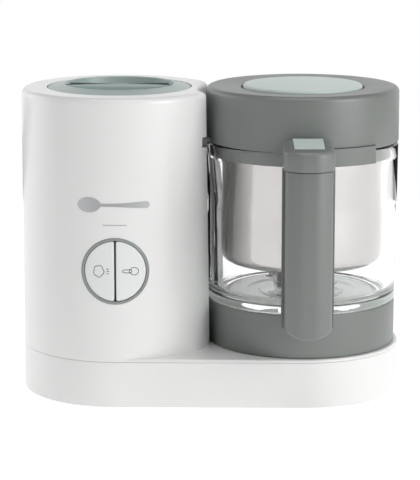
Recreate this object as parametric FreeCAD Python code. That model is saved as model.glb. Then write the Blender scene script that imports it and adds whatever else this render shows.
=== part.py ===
"""Steam-and-blend baby food maker: a white column with the water tank and controls, and a glass jug beside it.

Frame: +Z up, +X from the column towards the jug, -Y towards the user. The origin is the centre of the base's
footprint on the table. All lengths are millimetres. Each function makes one separate piece of the machine, and the
table at the end writes one STEP file per piece.
"""
import FreeCAD, Part
import math
import os

V = FreeCAD.Vector
UP = V(0, 0, 1)
BACK = V(0, 1, 0)
RIGHT = V(1, 0, 0)

# ---- driving dimensions --------------------------------------------------------------------------
BASE_LENGTH = 315.0          # base, along X
BASE_DEPTH = 163.0           # base, along Y
END_R = BASE_DEPTH / 2       # the base's round ends
AXIS_X = BASE_LENGTH / 2 - END_R
COLUMN_X = -AXIS_X           # column's axis
JUG_X = AXIS_X               # jug's axis
WALL = 2.5                   # moulded walls

FOOT_H = 1.2                 # rubber feet under the base
SEAM_Z = 38.6                # top of the lower housing
SEAM_GAP = 0.3
DECK_Z = 41.4                # flat deck that the jug stands on
COLUMN_TOP = 254.0
COLUMN_FOOT_R = END_R + 0.1
COLUMN_HEAD_R = 81.0
COLUMN_EDGE = 5.0            # rounding of the column's top edge
POCKET_FOOT_R = 82.4         # hollow in the column's side that the jug nests in, about the jug's axis
POCKET_HEAD_R = 87.0
SLOT_R = 92.5                # slot for the jug's spout, about the jug's axis
SLOT_Z0, SLOT_Z1 = 208.5, 217.0
SLOT_FLOOR = 2.0             # wall behind the slot

# controls on the column's front
PANEL_Z = 114.3
BEZEL_R = 27.2
BEZEL_BAND = 2.6
BEZEL_PROUD = 0.6
BUTTON_GAP = 1.6
PANEL_FLOOR_Y = -70.0

# tank and its cap
CAP_R = 59.4
ROOF_HOLE_R = 60.2
CAP_RIDGE_Z = 256.6
DISH_R = 44.4
DISH_Z = 247.5
BORE_R = 50.5
TANK_R = 45.8
TANK_WALL = 1.3
TANK_Z0, TANK_Z1 = 157.0, 240.0
NOZZLE_Z = 232.0

# drive
DRIVEN_R = 30.0
DRIVER_R = 10.0
PULLEY_Z0, PULLEY_Z1 = 17.0, 29.0
BELT_W = 8.0
BELT_T = 1.8
RIBS = 4
RIB_H = 0.9
MOTOR_X, MOTOR_Y = COLUMN_X - 8.0, 12.0
MOTOR_R = 28.0
MOTOR_Z0, MOTOR_Z1 = 58.0, 128.0
SHAFT_R = 4.0

# jug
HANDLE_TURN = 1.2            # degrees that the locked jug's handle stands past straight ahead
COLLAR_R = 78.3
COLLAR_Z0, COLLAR_Z1 = DECK_Z + 0.3, 77.3
GLASS_FOOT_R = 78.7
GLASS_RIM_R = 79.7
GLASS_RIM_Z = 210.2
GLASS_FLOOR_Z = 83.0
SPOUT_R = 85.2
TAB_Z1 = 214.6               # top of the lid's tab over the spout
HUB_R = 20.5
SPOUT_HALF = 17.0            # degrees
LID_R = 80.0
LID_Z0, LID_Z1 = 210.7, 255.3
LID_EDGE = 4.0
CAP_SEAT_R = 50.2            # recess for the feed cap in the lid's top
CAP_SEAT_Z = 254.2
FEED_CAP_R = 49.5
FEED_CAP_Z1 = 256.9
CLAMP_R0, CLAMP_R1 = 80.1, 82.0
CLAMP_Z0, CLAMP_Z1 = 199.3, 213.7
CLAMP_FROM, CLAMP_TO = -13.0, 43.5   # degrees from the handle, towards the right

# handle, in the jug's radial direction
GRIP_BACK, GRIP_SPLIT, GRIP_FRONT = 99.0, 106.5, 127.0
GRIP_HALF = 18.6             # half-width of the front half
LINER_HALF = 21.0            # half-width of the back half
GRIP_Z0, GRIP_Z1 = 68.8, 202.4
CAP_HALF = 20.0
CAP_Z0 = 202.9
CAP_BACK_Z, CAP_FRONT_Z = 223.0, 218.6
CAP_BACK, CAP_FRONT = 82.4, 128.4
KEY_HALF = 12.2              # release button, half-width
KEY_BACK, KEY_FRONT = 83.6, 116.0
KEY_FLOOR_Z = 206.5

# blade and clutch
CLUTCH_R = 10.4
CLUTCH_CORE = 7.6
CLUTCH_TEETH = 6
BASKET_R = 67.4
BASKET_Z0 = 108.6
BASKET_Z1 = 207.0
BASKET_WALL = 0.8


# ---- helpers -------------------------------------------------------------------------------------
def rounded_wire(points, place):
    """Closed wire through 2-D points (a, b) or (a, b, radius): a corner with a radius becomes a tangent arc."""
    corners = []
    for i, point in enumerate(points):
        here = V(point[0], point[1], 0)
        before = V(points[i - 1][0], points[i - 1][1], 0)
        after = V(points[(i + 1) % len(points)][0], points[(i + 1) % len(points)][1], 0)
        radius = point[2] if len(point) > 2 else 0
        if not radius:
            corners.append((here, here, here))
            continue
        u = (before - here).normalize()
        v = (after - here).normalize()
        half = u.getAngle(v) / 2
        middle = (u + v).normalize()
        reach = radius / math.tan(half)
        top = here + middle * (radius / math.sin(half) - radius)
        corners.append((here + u * reach, top, here + v * reach))
    edges = []
    for i, (start, top, end) in enumerate(corners):
        following = corners[(i + 1) % len(corners)][0]
        if (end - start).Length > 1e-6:
            edges.append(Part.Arc(place(start), place(top), place(end)).toShape())
        if (following - end).Length > 1e-6:
            edges.append(Part.LineSegment(place(end), place(following)).toShape())
    return Part.Wire(edges)


def turned(x, points, y=0.0):
    """Solid of revolution about the vertical axis at (x, y), from a profile of (radius, height) points."""
    face = Part.Face(rounded_wire(points, lambda p: V(x + p.x, y, p.y)))
    return face.revolve(V(x, y, 0), UP, 360)


def prism(points, z0, z1):
    """Prism between two heights, from a plan of (x, y) points."""
    return Part.Face(rounded_wire(points, lambda p: V(p.x, p.y, z0))).extrude(V(0, 0, z1 - z0))


def rod(x, y, z0, z1, radius):
    """Upright cylinder."""
    return Part.makeCylinder(radius, z1 - z0, V(x, y, z0))


def tube(x, y, z0, z1, outer, inner):
    """Upright tube."""
    return rod(x, y, z0, z1, outer).cut(rod(x, y, z0 - 1, z1 + 1, inner))


def rod_back(x, y0, y1, z, radius):
    """Cylinder that runs from front to back."""
    return Part.makeCylinder(radius, y1 - y0, V(x, y0, z), BACK)


def rod_right(x0, x1, y, z, radius):
    """Cylinder that runs from left to right."""
    return Part.makeCylinder(radius, x1 - x0, V(x0, y, z), RIGHT)


def block(x0, x1, y0, y1, z0, z1):
    """Upright box between its corners."""
    return Part.makeBox(x1 - x0, y1 - y0, z1 - z0, V(x0, y0, z0))


def cone(x, z0, z1, r0, r1):
    """Upright cone frustum on the front-to-back middle plane."""
    return Part.makeCone(r0, r1, z1 - z0, V(x, 0, z0))


def stadium(radius, z0, z1):
    """Prism of the base's plan: two half-circles about the column's and the jug's axes, joined by straight sides."""
    left = Part.Arc(V(COLUMN_X, radius, z0), V(COLUMN_X - radius, 0, z0), V(COLUMN_X, -radius, z0))
    front = Part.LineSegment(V(COLUMN_X, -radius, z0), V(JUG_X, -radius, z0))
    right = Part.Arc(V(JUG_X, -radius, z0), V(JUG_X + radius, 0, z0), V(JUG_X, radius, z0))
    back = Part.LineSegment(V(JUG_X, radius, z0), V(COLUMN_X, radius, z0))
    wire = Part.Wire([side.toShape() for side in (left, front, right, back)])
    return Part.Face(wire).extrude(V(0, 0, z1 - z0))


def edges_at(shape, z):
    """The edges that lie wholly at one height."""
    return [e for e in shape.Edges if abs(e.BoundBox.ZMin - z) < 0.02 and abs(e.BoundBox.ZMax - z) < 0.02]


def joined(first, *others):
    """One solid from pieces that touch."""
    return first.fuse(list(others)).removeSplitter()


def around(shape, x, count, start=0.0):
    """Copies of a shape evenly spaced about the upright axis at x."""
    copies = []
    for i in range(count):
        copy = shape.copy()
        copy.rotate(V(x, 0, 0), UP, start + i * 360.0 / count)
        copies.append(copy)
    return copies


def on_handle(shape):
    """Turns a piece made straight ahead of the jug to the handle's true direction."""
    shape.rotate(V(JUG_X, 0, 0), UP, HANDLE_TURN)
    return shape


def pocket(extra=0.0):
    """The tapering round space that the jug needs beside the column, grown by extra."""
    rise = (POCKET_HEAD_R - POCKET_FOOT_R) / (COLUMN_TOP - DECK_Z)
    top = COLUMN_TOP + 10
    return cone(JUG_X, DECK_Z, top, POCKET_FOOT_R + extra, POCKET_HEAD_R + extra + rise * 10)


def stud(x, y, z0, z1, head_r, head_h, shank_r):
    """Screw with its head at the bottom."""
    return joined(rod(x, y, z0, z0 + head_h, head_r), rod(x, y, z0 + head_h, z1, shank_r))


SCREW_PLACES = [(sx * 130.0, sy * 50.0) for sx in (-1, 1) for sy in (-1, 1)] + [(0, 72.0), (0, -72.0)]
FOOT_PLACES = [(sx * 118.0, sy * 42.0) for sx in (-1, 1) for sy in (-1, 1)] + [(0, 0)]


# ---- base ----------------------------------------------------------------------------------------
def base_shell():
    outer = stadium(END_R, FOOT_H, SEAM_Z)
    outer = outer.makeFillet(0.8, edges_at(outer, FOOT_H))
    shell = outer.cut(stadium(END_R - WALL, FOOT_H - 1, SEAM_Z + 1))
    ledge = stadium(END_R - WALL + 0.5, 4.9, 7.0).cut(stadium(END_R - 9, 4, 8))
    solid = joined(shell, ledge)
    for x, y in SCREW_PLACES:
        solid = solid.fuse(rod(x, y, 4.9, 16.0, 4.5).common(stadium(END_R - 1, 0, 40)))
    for x, y in SCREW_PLACES:
        bridge = block(x - 1.2, x + 1.2, min(y, y * 1.5), max(y, y * 1.5), 4.9, 12.0)
        solid = solid.fuse(bridge.common(stadium(END_R - 1, 0, 40)))
    for x, y in SCREW_PLACES:
        solid = solid.cut(rod(x, y, 4, 14.0, 1.65))
    inlet = rod_back(COLUMN_X, END_R - 8, END_R + 3, 20.0, 6.1)
    return solid.cut(inlet).removeSplitter()


def bottom_plate():
    plate = stadium(END_R - WALL - 0.4, FOOT_H + 0.2, 4.8)
    for x, y in SCREW_PLACES:
        plate = plate.cut(rod(x, y, 0, 10, 1.7)).cut(rod(x, y, 0, 3.6, 3.4))
    for x, y in FOOT_PLACES:
        plate = plate.cut(rod(x, y, 0, 3.2, 8.6)).cut(rod(x, y, 0, 10, 2.6))
    for i in range(7):
        x = COLUMN_X - 30 + i * 10
        plate = plate.cut(prism([(x - 2, -28, 1.9), (x + 2, -28, 1.9), (x + 2, 28, 1.9), (x - 2, 28, 1.9)], 0, 10))
    cup = tube(JUG_X, 0, 4.7, 12.0, 11.0, 8.05)
    return joined(plate, cup)


def rubber_feet():
    """Round pads with a plug through the bottom plate, four near the ends and one in the middle."""
    feet = []
    for x, y in FOOT_PLACES:
        pad = turned(x, [(0, 0), (8, 0, 0.8), (8.3, 3.1), (0, 3.1)], y)
        feet.append(joined(pad, rod(x, y, 3.0, 6.4, 2.5), rod(x, y, 4.9, 6.4, 3.4)))
    return Part.Compound(feet)


def base_screws():
    return Part.Compound([stud(x, y, 2.5, 13.5, 3.2, 1.05, 1.6) for x, y in SCREW_PLACES])


def upper_housing():
    """Column and deck in one moulding, with the jug's pocket in its side."""
    deck = stadium(END_R, SEAM_Z + SEAM_GAP, DECK_Z)
    deck = deck.makeFillet(1.3, edges_at(deck, DECK_Z))
    column = cone(COLUMN_X, SEAM_Z + SEAM_GAP, COLUMN_TOP, COLUMN_FOOT_R, COLUMN_HEAD_R).cut(pocket())
    corners = [e for e in column.Edges if e.BoundBox.ZLength > 150 and abs(e.BoundBox.YMax) > 20
               and e.BoundBox.XMax > -20]
    column = column.makeFillet(2.5, corners)
    column = column.makeFillet(COLUMN_EDGE, edges_at(column, COLUMN_TOP))
    roof = COLUMN_TOP - WALL - 0.2
    inside = cone(COLUMN_X, SEAM_Z - 2, roof, COLUMN_FOOT_R - WALL, COLUMN_HEAD_R - WALL).cut(pocket(WALL))
    inside = inside.cut(rod(JUG_X, 0, SLOT_Z0 - SLOT_FLOOR, SLOT_Z1 + SLOT_FLOOR, SLOT_R + SLOT_FLOOR))
    foot = stadium(END_R - WALL - 0.3, SEAM_Z - 4, DECK_Z - 0.5).cut(stadium(END_R - 2 * WALL, 20, 60))
    rim = stadium(END_R - WALL + 0.3, SEAM_Z + SEAM_GAP, DECK_Z - 0.4).cut(stadium(END_R - 2 * WALL, 20, 60))
    seat = turned(JUG_X, [(10, DECK_Z - 1), (36, DECK_Z - 1), (36, DECK_Z + 3.5, 1.5), (10, DECK_Z + 3.5)])
    housing = joined(deck, column).cut(inside)
    housing = joined(housing, foot, rim, seat)
    slot = tube(JUG_X, 0, SLOT_Z0, SLOT_Z1, SLOT_R, 70)
    openings = [
        slot,
        rod(COLUMN_X, 0, roof - 1, COLUMN_TOP + 1, ROOF_HOLE_R),
        rod_back(COLUMN_X, -95, -50, PANEL_Z, BEZEL_R + 0.2),
        rod_right(-24, -6, 0, NOZZLE_Z, 7.2),
        rod(JUG_X, 0, DECK_Z - 4, DECK_Z + 6, 16.5),
        rod_right(-28, -8, FEELER_Y, FEELER_Z, 3.2),
    ]
    for opening in openings:
        housing = housing.cut(opening)
    return housing.removeSplitter()


# ---- interlock in the slot -----------------------------------------------------------------------
FEELER_Y = -30.0
FEELER_Z = (SLOT_Z0 + SLOT_Z1) / 2


def interlock_feeler():
    """Sprung pin beside the locked jug's spout: a curved head in the slot on a round stem through the wall."""
    head = tube(JUG_X, 0, SLOT_Z0 + 1.0, SLOT_Z1 - 1.0, SLOT_R - 2.2, SPOUT_R + 0.4)
    head = head.common(wedge(HANDLE_TURN + 180.0 + SPOUT_HALF + 0.4, 203.5, 190, 230))
    return joined(head, rod_right(-30, -8, FEELER_Y, FEELER_Z, 2.9))


def interlock_switch():
    return block(-36.4, -32.4, FEELER_Y - 6, FEELER_Y + 6, FEELER_Z - 5, FEELER_Z + 5)


# ---- controls ------------------------------------------------------------------------------------
def panel_skin(radius):
    """Everything inside an upright cylinder about the column's axis, in front of the panel's floor."""
    return rod(COLUMN_X, 0, PANEL_Z - 40, PANEL_Z + 40, radius)


def button_bezel():
    """Ring round the two buttons, curved with the column, with a closed floor behind them."""
    front = rod_back(COLUMN_X, -90, PANEL_FLOOR_Y + 1, PANEL_Z, BEZEL_R)
    front = front.cut(rod_back(COLUMN_X, -91, PANEL_FLOOR_Y + 2, PANEL_Z, BEZEL_R - BEZEL_BAND))
    front = front.common(panel_skin(COLUMN_FOOT_R + BEZEL_PROUD))
    floor = rod_back(COLUMN_X, PANEL_FLOOR_Y, PANEL_FLOOR_Y + 2, PANEL_Z, BEZEL_R)
    posts = [rod_back(COLUMN_X + sx * 18, PANEL_FLOOR_Y + 1, -62.2, PANEL_Z + sz * 15, 2.5)
             for sx in (-1, 1) for sz in (-1, 1)]
    ring = joined(front, floor, *posts)
    for side in (-1, 1):
        ring = ring.cut(rod_back(COLUMN_X + side * 12, -75, -60, PANEL_Z, 2.6))
    return ring


def half_button(side):
    """One of the two half-round buttons, with the stem that works its switch. side is -1 left, 1 right."""
    disc = rod_back(COLUMN_X, -90, -72.6, PANEL_Z, BEZEL_R - BEZEL_BAND - 0.35)
    near, far = COLUMN_X + side * BUTTON_GAP / 2, COLUMN_X + side * 40
    half = disc.common(block(min(near, far), max(near, far), -95, -60, PANEL_Z - 40, PANEL_Z + 40))
    half = half.common(panel_skin(COLUMN_FOOT_R + 0.15))
    return joined(half, rod_back(COLUMN_X + side * 12, -73, -66.5, PANEL_Z, 2.2))


def control_board():
    return block(COLUMN_X - 24, COLUMN_X + 24, -62.2, -60.6, PANEL_Z - 22, PANEL_Z + 22)


def tact_switches():
    """Two small switches on the board, one behind each button."""
    switches = []
    for side in (-1, 1):
        x = COLUMN_X + side * 12
        body = block(x - 3, x + 3, -63.9, -62.2, PANEL_Z - 3, PANEL_Z + 3)
        switches.append(joined(body, rod_back(x, -64.7, -63.5, PANEL_Z, 1.7)))
    return Part.Compound(switches)


# ---- water tank ----------------------------------------------------------------------------------
def boiler_tank():
    """Deep-drawn steel cup with a flange, and a hole for the steam duct."""
    r, t = TANK_R, TANK_WALL
    cup = turned(COLUMN_X, [
        (0, TANK_Z0), (r, TANK_Z0, 6), (r, TANK_Z1 - t), (55, TANK_Z1 - t), (55, TANK_Z1),
        (r - t, TANK_Z1), (r - t, TANK_Z0 + t, 5), (0, TANK_Z0 + t)])
    return cup.cut(rod_right(COLUMN_X + 30, COLUMN_X + 60, 0, NOZZLE_Z, 4.1))


def tank_gasket():
    return tube(COLUMN_X, 0, TANK_Z1, TANK_Z1 + 1.0, 54.0, 51.0)


def tank_collar():
    """Neck between the tank and the roof that the cap's plug goes into."""
    z0 = TANK_Z1 + 1.0
    return turned(COLUMN_X, [
        (BORE_R, z0), (62, z0), (62, 250.9), (59.8, 250.9), (59.8, 251.3), (BORE_R, 251.3, 0.8)])


def heater_plate():
    return rod(COLUMN_X, 0, TANK_Z0 - 6.0, TANK_Z0, 38.0)


def heating_element():
    """Sheathed ring under the heater plate, with its two terminals."""
    ring = tube(COLUMN_X, 0, TANK_Z0 - 13.0, TANK_Z0 - 6.0, 34.0, 27.0)
    ring = ring.makeFillet(2.5, edges_at(ring, TANK_Z0 - 13.0))
    pins = [rod(COLUMN_X + sx * 6, 30.5, TANK_Z0 - 24, TANK_Z0 - 12, 2.2) for sx in (-1, 1)]
    return joined(ring, *pins)


def thermostat():
    body = rod(COLUMN_X, 0, TANK_Z0 - 14.0, TANK_Z0 - 6.0, 9.0)
    tabs = [block(COLUMN_X + sx * 7 - 3, COLUMN_X + sx * 7 + 3, -0.4, 0.4, TANK_Z0 - 21, TANK_Z0 - 13)
            for sx in (-1, 1)]
    return joined(body, *tabs)


def thermal_fuse():
    return rod_right(COLUMN_X - 8, COLUMN_X + 8, -18.0, TANK_Z0 - 9.0, 3.0)


def steam_duct():
    """Short tube from the tank to the port in the pocket's wall."""
    outer = rod_right(COLUMN_X + TANK_R - 0.8, -14.6, 0, NOZZLE_Z, 3.9)
    return outer.cut(rod_right(COLUMN_X + 30, 0, 0, NOZZLE_Z, 2.5))


def steam_port():
    """Soft ring in the pocket's wall that the steam leaves by, flush with the wall."""
    ring = rod_right(-18, -8, 0, NOZZLE_Z, 6.9).cut(rod_right(-20, -6, 0, NOZZLE_Z, 4.1))
    return ring.cut(pocket())


# ---- tank cap ------------------------------------------------------------------------------------
def tank_cap():
    """Dished cap with a finger bar across it and a shallow coned rim."""
    dish = turned(COLUMN_X, [
        (0, 245.3), (46.7, 245.3), (46.7, 251.6), (CAP_R, 251.6), (CAP_R, 253.6, 0.9),
        (49.5, 256.1, 8), (45.4, CAP_RIDGE_Z, 0.9), (DISH_R, DISH_Z, 3.5), (0, DISH_Z)])
    reach = DISH_R + 1.2
    bar = block(COLUMN_X - reach, COLUMN_X + reach, -4.6, 4.6, DISH_Z - 1, CAP_RIDGE_Z - 0.2)
    crest = [e for e in edges_at(bar, CAP_RIDGE_Z - 0.2) if e.BoundBox.XLength > 10]
    bar = bar.makeFillet(1.8, crest)
    bar = bar.common(rod(COLUMN_X, 0, 240, 260, DISH_R + 1.0))
    return joined(dish, bar)


def cap_plug():
    """Inner cup of the cap, held to it by its hub, that keeps the seal in place."""
    return turned(COLUMN_X, [
        (0, 245.3), (49.2, 245.3), (49.2, 242.9), (42, 242.9), (42, 236.5, 1), (40, 236.5, 1), (40, 242.9),
        (0, 242.9)])


def cap_seal():
    return turned(COLUMN_X, [(46.9, 246.2, 1.2), (50.1, 246.2, 1.2), (50.1, 250.4, 1.2), (46.9, 250.4, 1.2)])


# ---- motor and belt drive ------------------------------------------------------------------------
def motor_can():
    can = turned(MOTOR_X, [
        (4.2, MOTOR_Z0), (MOTOR_R, MOTOR_Z0, 3), (MOTOR_R, MOTOR_Z1, 3), (9, MOTOR_Z1),
        (9, MOTOR_Z1 + 4, 1), (4.2, MOTOR_Z1 + 4)], MOTOR_Y)
    return can


def motor_bracket():
    """Plate that carries the motor, on three legs that stand on the bottom plate."""
    plate = rod(COLUMN_X, 0, MOTOR_Z0 - 3.5, MOTOR_Z0, 66.0).cut(pocket(WALL + 1.5))
    plate = plate.cut(rod(MOTOR_X, MOTOR_Y, 40, 70, 9.0))
    legs = [rod(COLUMN_X + x, y, 4.8, MOTOR_Z0 - 3.0, 5.0) for x, y in ((-52, 26), (-30, -48), (22, 52))]
    return joined(plate, *legs)


def motor_shaft():
    return rod(MOTOR_X, MOTOR_Y, 12.0, MOTOR_Z1 + 8, SHAFT_R)


def ribbed_profile(radius, hub):
    """Profile of a ribbed pulley between two flanges, with one groove for each rib of the belt."""
    middle = (PULLEY_Z0 + PULLEY_Z1) / 2
    low, high = middle - BELT_W / 2 - 0.3, middle + BELT_W / 2 + 0.3
    points = [(hub, PULLEY_Z0), (radius + BELT_T, PULLEY_Z0), (radius + BELT_T, low), (radius, low)]
    pitch = BELT_W / RIBS
    for i in range(RIBS):
        z = middle - BELT_W / 2 + (i + 0.5) * pitch
        points += [(radius, z - 0.7), (radius - RIB_H - 0.2, z - 0.45), (radius - RIB_H - 0.2, z + 0.45),
                   (radius, z + 0.7)]
    points += [(radius, high), (radius + BELT_T, high), (radius + BELT_T, PULLEY_Z1), (hub, PULLEY_Z1)]
    return points


def motor_pulley():
    return turned(MOTOR_X, ribbed_profile(DRIVER_R, SHAFT_R), MOTOR_Y)


def driven_pulley():
    pulley = turned(JUG_X, ribbed_profile(DRIVEN_R, SHAFT_R))
    windows = around(rod(JUG_X + 18, 0, 10, 40, 5.5), JUG_X, 6, 30)
    return pulley.cut(Part.Compound(windows))


def belt_loop(offset, z0, z1):
    """Prism of the loop round both pulleys, at a distance outside their running surfaces."""
    run = math.hypot(JUG_X - MOTOR_X, -MOTOR_Y)
    heading = math.atan2(-MOTOR_Y, JUG_X - MOTOR_X)
    lean = math.acos((DRIVER_R - DRIVEN_R) / run)
    ends = []
    for x, y, r in ((MOTOR_X, MOTOR_Y, DRIVER_R + offset), (JUG_X, 0.0, DRIVEN_R + offset)):
        ends.append([V(x + r * math.cos(heading + a), y + r * math.sin(heading + a), z0)
                     for a in (lean, math.pi if x == MOTOR_X else 0.0, -lean)])
    small, large = ends
    wire = Part.Wire([
        Part.Arc(*small).toShape(),
        Part.LineSegment(small[2], large[2]).toShape(),
        Part.Arc(large[2], large[1], large[0]).toShape(),
        Part.LineSegment(large[0], small[0]).toShape(),
    ])
    return Part.Face(wire).extrude(V(0, 0, z1 - z0))


def drive_belt():
    """Ribbed belt: a flat band with ribs on its inside that run in the pulleys' grooves."""
    middle = (PULLEY_Z0 + PULLEY_Z1) / 2
    z0, z1 = middle - BELT_W / 2, middle + BELT_W / 2
    band = belt_loop(BELT_T - 0.3, z0, z1).cut(belt_loop(0.1, z0 - 1, z1 + 1))
    pitch = BELT_W / RIBS
    ribs = []
    for i in range(RIBS):
        z = z0 + (i + 0.5) * pitch
        ribs.append(belt_loop(0.4, z - 0.35, z + 0.35).cut(belt_loop(-RIB_H, z - 1, z + 1)))
    return joined(band, *ribs)


def drive_housing():
    """Flanged bearing housing screwed up under the deck."""
    return turned(JUG_X, [
        (11.0, 31.2), (15.5, 31.2), (15.5, 36.0), (30, 36.0), (30, 38.8), (15.5, 38.8), (15.5, 43.5), (11.0, 43.5)])


def drive_bearings():
    """Two ball bearings in the housing and a plain bush in the bottom plate."""
    races = [tube(JUG_X, 0, z, z + 5.5, 11.0, SHAFT_R + 0.03) for z in (31.6, 37.8)]
    return Part.Compound(races + [tube(JUG_X, 0, 4.9, 12.0, 8.0, SHAFT_R + 0.03)])


def drive_shaft():
    return rod(JUG_X, 0, 5.4, 45.9, SHAFT_R)


def clutch_star(core, tip, z0, z1, width):
    """Prism with straight teeth round a core, for either half of the clutch."""
    tooth = block(JUG_X, JUG_X + tip, -width / 2, width / 2, z0, z1)
    return joined(rod(JUG_X, 0, z0, z1, core), *around(tooth, JUG_X, CLUTCH_TEETH))


def drive_clutch():
    return joined(rod(JUG_X, 0, 45.9, 48.4, 13.0), clutch_star(CLUTCH_CORE, CLUTCH_R, 48.0, 55.0, 4.0))


def cord_grommet():
    """Soft sleeve in the back of the lower housing that the mains cord would come out of."""
    y = END_R
    sleeve = rod_back(COLUMN_X, y - 4.5, y + 2.0, 20.0, 6.0)
    sleeve = joined(sleeve, rod_back(COLUMN_X, y + 0.2, y + 2.0, 20.0, 8.0))
    return sleeve.cut(rod_back(COLUMN_X, y - 8, y + 4, 20.0, 3.6))


# ---- jug -----------------------------------------------------------------------------------------
def jug_glass():
    """Thick-walled glass with a stepped foot, a floor with a hole for the blade, and a small side spout."""
    body = turned(JUG_X, [
        (13.0, 73.0), (74.6, 73.0, 2), (74.6, COLLAR_Z1 + 0.3), (GLASS_FOOT_R, COLLAR_Z1 + 0.3, 1.6),
        (GLASS_RIM_R, GLASS_RIM_Z, 1.6), (75.3, GLASS_RIM_Z, 1.6), (75.2, 197.0, 10), (71.4, 160.0, 60),
        (70.6, GLASS_FLOOR_Z, 9), (61.0, GLASS_FLOOR_Z, 1.2), (59.5, GLASS_FLOOR_Z - 1.2, 1.2),
        (46.0, GLASS_FLOOR_Z - 1.2, 1.2), (44.5, GLASS_FLOOR_Z, 1.2), (13.0, GLASS_FLOOR_Z)])
    return joined(body, spout_lip())


def spout_lip():
    """Flared lip outside the rim, on the side that faces the column."""
    lip = turned(JUG_X, [(78.5, 196.0), (79.6, 196.0), (SPOUT_R, GLASS_RIM_Z - 2.2, 6), (SPOUT_R, GLASS_RIM_Z, 1),
                         (78.5, GLASS_RIM_Z)])
    return on_handle(lip.common(wedge(180.0 - SPOUT_HALF, 180.0 + SPOUT_HALF, 190, 220)))


def wedge(start, end, z0, z1):
    """Upright wedge about the jug's axis between two angles, in degrees from +X, less than a half turn apart."""
    reach = 200.0
    corners = [(JUG_X, 0.0)]
    for angle in (start, (start + end) / 2, end):
        corners.append((JUG_X + reach * math.cos(math.radians(angle)), reach * math.sin(math.radians(angle))))
    return prism(corners, z0, z1)


def jug_collar():
    """Grey foot of the jug: a skirt round the glass's foot, and a web over the drive."""
    return turned(JUG_X, [
        (COLLAR_R - 3, COLLAR_Z0), (COLLAR_R, COLLAR_Z0, 1.0), (COLLAR_R, COLLAR_Z1, 0.6), (75.0, COLLAR_Z1),
        (75.0, 72.7), (33.0, 72.7), (33.0, 69.7), (72.0, 69.7), (COLLAR_R - 3, 66.0)])


def blade_gasket():
    return tube(JUG_X, 0, GLASS_FLOOR_Z + 0.1, GLASS_FLOOR_Z + 1.7, 17.5, 12.7)


def blade_nut():
    """Round carrier through the jug's floor that holds the blade's bush, with its nut below the collar."""
    return turned(JUG_X, [
        (7.05, 61.5), (31.5, 61.5, 2), (31.5, 68.9, 1), (29.0, 72.4), (12.6, 72.4), (12.6, 86.0, 1.0),
        (7.05, 86.0)])


def blade_bush():
    return tube(JUG_X, 0, 62.0, 86.0, 7.0, SHAFT_R + 0.05)


def blade_shaft():
    return rod(JUG_X, 0, 59.0, 100.0, SHAFT_R)


def blade_clutch():
    """Socket under the blade's shaft that drops over the drive clutch."""
    cup = turned(JUG_X, [(0, 49.0), (14.5, 49.0, 1), (14.5, 59.0, 1), (0, 59.0)])
    return cup.cut(clutch_star(CLUTCH_CORE + 0.5, CLUTCH_R + 0.6, 48.0, 55.8, 5.2))


def blade_hub():
    """Domed hub pressed over the top of the shaft."""
    hub = turned(JUG_X, [(0, 87.0), (HUB_R, 87.0, 1.5), (HUB_R, 102.0, 5), (11, 106.5, 4), (0, 106.5)])
    return hub.cut(rod(JUG_X, 0, 80, 100.0, SHAFT_R))


def blade_wing(lift):
    """One swept cutting wing: a thin curved plate from the hub, with a tip turned up by lift."""
    plan = [(22.0, -5.5), (29.0, -7.0), (44.0, 6.5, 2), (32.0, 7.0), (22.0, 6.0)]
    flat = prism([(JUG_X + p[0], p[1], *p[2:]) for p in plan], 90.0, 91.6)
    if not lift:
        return flat
    tip = block(JUG_X + 30.0, JUG_X + 31.6, -7.0, 3.5, 90.0, 90.0 + lift)
    slope = prism([(JUG_X + 22.0, -5.5), (JUG_X + 31.6, -7.0), (JUG_X + 31.6, 7.0), (JUG_X + 22.0, 6.0)], 90.0, 91.6)
    return joined(slope, tip)


def blades():
    """Four stainless wings on a ring pressed round the hub, two flat and two with upturned tips."""
    wings = []
    for i in range(4):
        wing = blade_wing(13.0 if i % 2 else 0.0)
        wing.rotate(V(JUG_X, 0, 0), UP, BLADE_START + 90.0 * i)
        wings.append(wing)
    ring = tube(JUG_X, 0, 89.4, 92.2, HUB_R + 3, HUB_R)
    return joined(ring, *wings)


BLADE_START = 232.0


# ---- handle --------------------------------------------------------------------------------------
def grip_plan(half, back, front, bulge, back_round, front_round):
    """Plan of a grip section, as (x, y) points: straight sides and a bulging front made of short flats and arcs."""
    x = JUG_X
    return [
        (x - half, -back, back_round), (x + half, -back, back_round),
        (x + half, -(front - bulge), front_round), (x + half * 0.45, -front, half * 0.8),
        (x - half * 0.45, -front, half * 0.8), (x - half, -(front - bulge), front_round)]


def front_outline(half, z0, z1, sag, back, front):
    """Prism seen from the front: straight sides and a bottom that is one shallow arc."""
    x = JUG_X
    low = Part.Arc(V(x - half, -back, z0 + sag), V(x, -back, z0), V(x + half, -back, z0 + sag)).toShape()
    side = Part.LineSegment(V(x + half, -back, z0 + sag), V(x + half, -back, z1)).toShape()
    top = Part.LineSegment(V(x + half, -back, z1), V(x - half, -back, z1)).toShape()
    other = Part.LineSegment(V(x - half, -back, z1), V(x - half, -back, z0 + sag)).toShape()
    return Part.Face(Part.Wire([low, side, top, other])).extrude(V(0, -(front - back), 0))


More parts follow.
